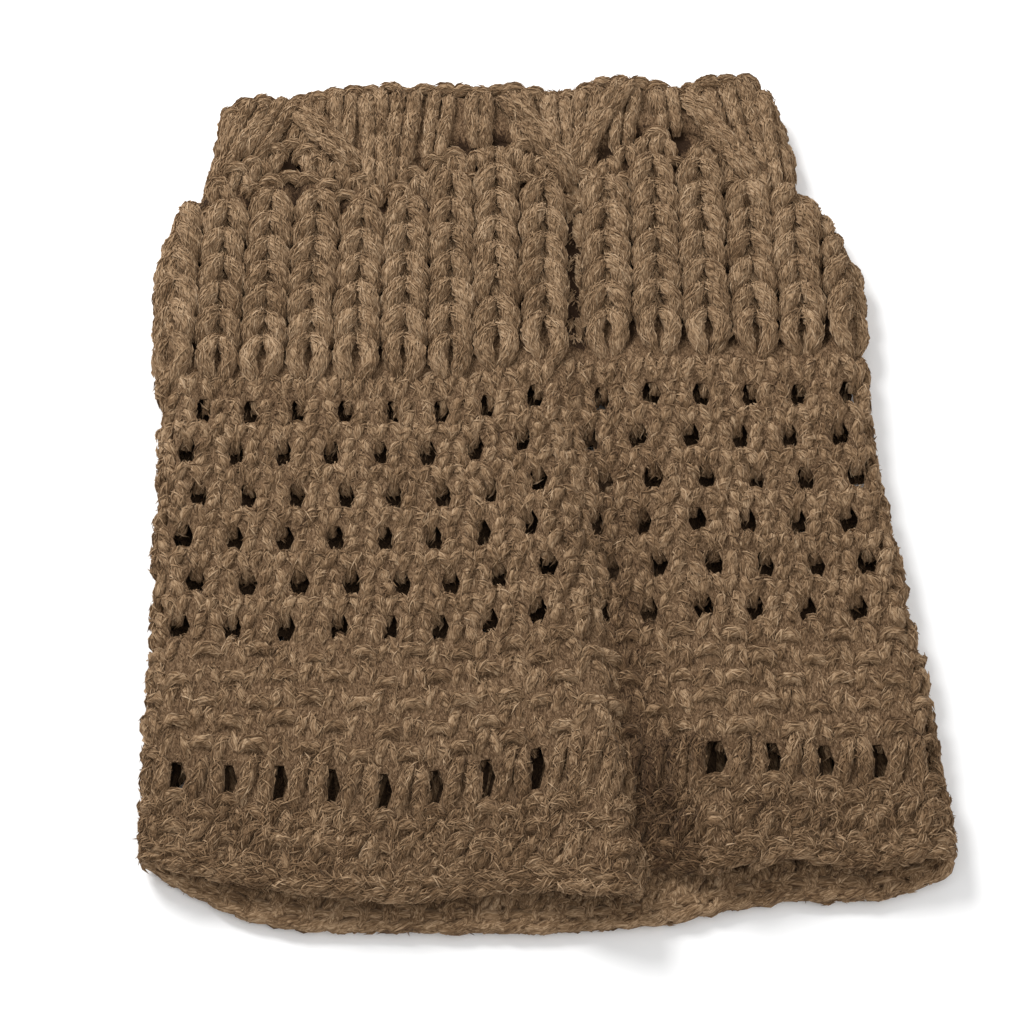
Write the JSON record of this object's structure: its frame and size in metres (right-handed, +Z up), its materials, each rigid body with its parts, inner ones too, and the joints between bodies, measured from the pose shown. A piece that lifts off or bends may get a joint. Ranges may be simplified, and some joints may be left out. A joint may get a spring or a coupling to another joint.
{
  "type": "crochet leg warmer",
  "caption": "Knitted tube leg warmer lying flat, with a fan-stitch edge, a ribbed cuff, an eyelet lace body and an open hem border.",
  "frame": {"origin": "middle of the footprint, on the surface that the back layer rests on", "axes": "+Y along the tube towards its fan edge, +Z up out of the front layer, +X to the right as seen from the hem"},
  "size_m": [0.1725, 0.2156, 0.0121],
  "materials": {
    "fan_band_yarn": "brushed knit",
    "rib_cuff_yarn": "brushed knit",
    "lace_body_yarn": "brushed knit",
    "hem_border_yarn": "brushed knit"
  },
  "bodies": {
    "root": {"front_fan_band": "fan_band_yarn", "front_rib_cuff": "rib_cuff_yarn", "front_lace_body": "lace_body_yarn", "front_hem_border": "hem_border_yarn", "back_fan_band": "fan_band_yarn", "back_rib_cuff": "rib_cuff_yarn", "back_lace_body": "lace_body_yarn", "back_hem_border": "hem_border_yarn"}
  },
  "joints": []
}
